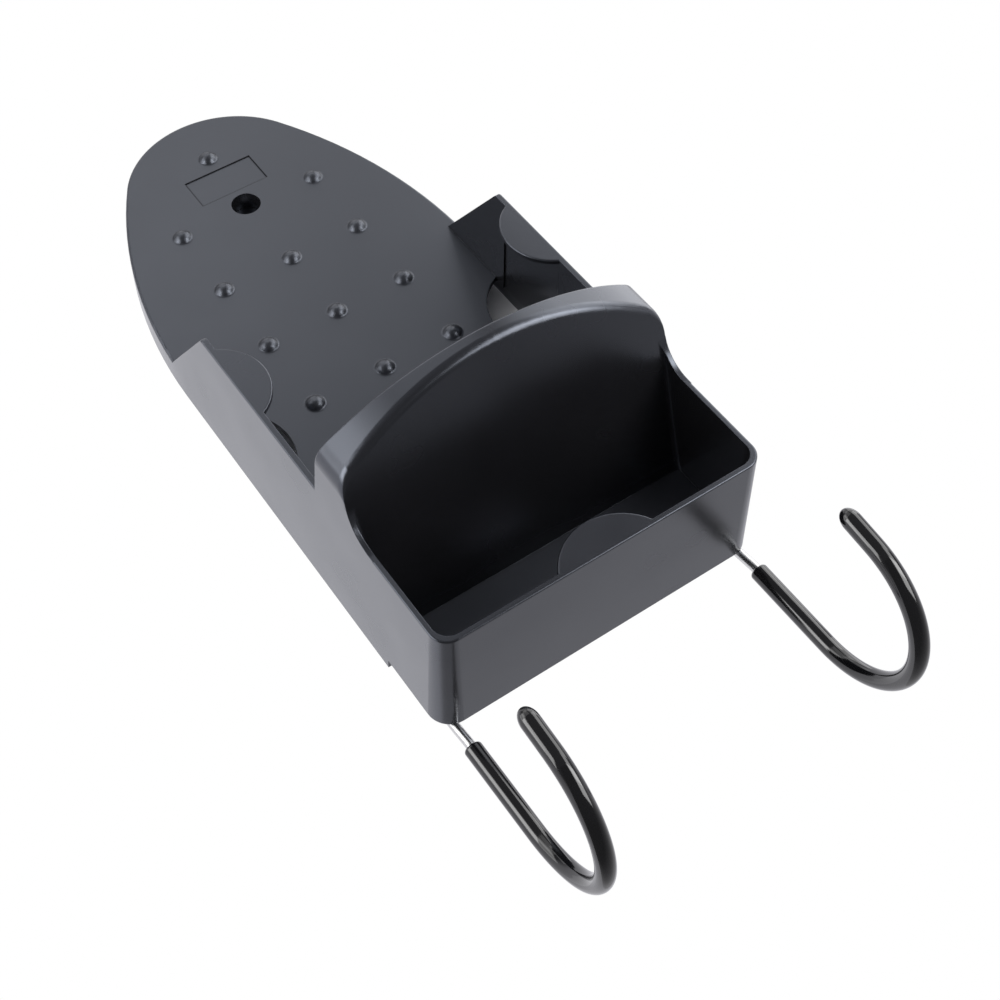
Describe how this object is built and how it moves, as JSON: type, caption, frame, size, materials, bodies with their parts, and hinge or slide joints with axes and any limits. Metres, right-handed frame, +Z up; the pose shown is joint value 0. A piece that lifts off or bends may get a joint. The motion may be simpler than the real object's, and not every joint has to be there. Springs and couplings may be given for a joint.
{
  "type": "iron and ironing board hanger",
  "caption": "Wall holder for an iron and an ironing board: bumped oval panel, side walls, arched heel shelf and cord compartment in one moulding, over a bent wire with sleeved hooks.",
  "frame": {"origin": "on the wall plane, on the axis of the upper screw hole", "axes": "+Z up, +X to the right as seen from the room, -Y out of the wall towards the room"},
  "size_m": [0.1734, 0.1245, 0.5032],
  "materials": {
    "moulded_plastic": "charcoal moulded plastic, satin",
    "plated_wire": "bright plated steel wire",
    "vinyl_sleeve": "glossy black vinyl"
  },
  "bodies": {
    "root": {"body": "moulded_plastic", "hook_wire": "plated_wire", "hook_sleeve_left": "vinyl_sleeve", "hook_sleeve_right": "vinyl_sleeve"}
  },
  "joints": []
}
